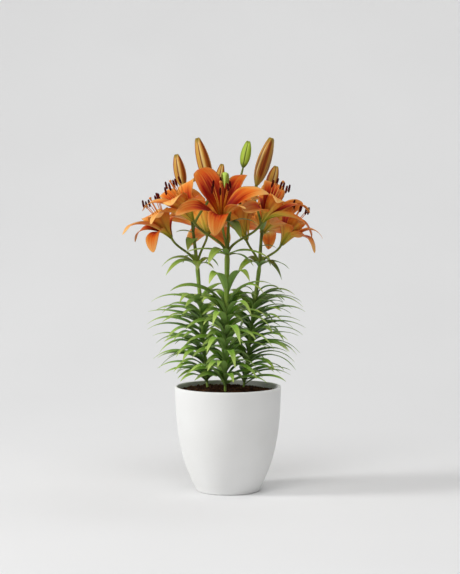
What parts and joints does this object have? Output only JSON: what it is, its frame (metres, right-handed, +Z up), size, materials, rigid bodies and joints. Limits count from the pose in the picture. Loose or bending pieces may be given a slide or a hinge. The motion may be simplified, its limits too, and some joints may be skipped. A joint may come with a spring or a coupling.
{
  "type": "potted lily",
  "caption": "Flowering lily plants with open blooms, closed buds and arching leaves on upright stems in a plain cup-shaped ceramic pot with a flat base.",
  "frame": {"origin": "centre of the pot's flat base, on the surface that it stands on", "axes": "+Z up along the pot's axis, +Y from the front bloom towards the back, +X to the right seen from the front"},
  "size_m": [0.285, 0.242, 0.499],
  "materials": {
    "white_ceramic": "matte",
    "peat": "matte",
    "leaf_green": "satin",
    "orange_tepal": "satin",
    "maroon_stamen": "matte",
    "ripe_bud": "satin",
    "green_bud": "satin"
  },
  "bodies": {
    "root": {"pot": "white_ceramic", "soil": "peat", "stem_left": "leaf_green", "stem_centre": "leaf_green", "stem_right": "leaf_green", "bloom_01_tepals": "orange_tepal", "bloom_01_stamens": "maroon_stamen", "bloom_02_tepals": "orange_tepal", "bloom_02_stamens": "maroon_stamen", "bloom_03_tepals": "orange_tepal", "bloom_03_stamens": "maroon_stamen", "bloom_04_tepals": "orange_tepal", "bloom_04_stamens": "maroon_stamen", "bloom_05_tepals": "orange_tepal", "bloom_05_stamens": "maroon_stamen", "bloom_06_tepals": "orange_tepal", "bloom_06_stamens": "maroon_stamen", "bloom_07_tepals": "orange_tepal", "bloom_07_stamens": "maroon_stamen", "bloom_08_tepals": "orange_tepal", "bloom_08_stamens": "maroon_stamen", "bud_01": "ripe_bud", "bud_02": "ripe_bud", "bud_03": "ripe_bud", "bud_04": "green_bud", "bud_05": "ripe_bud", "bud_06": "ripe_bud"}
  },
  "joints": []
}
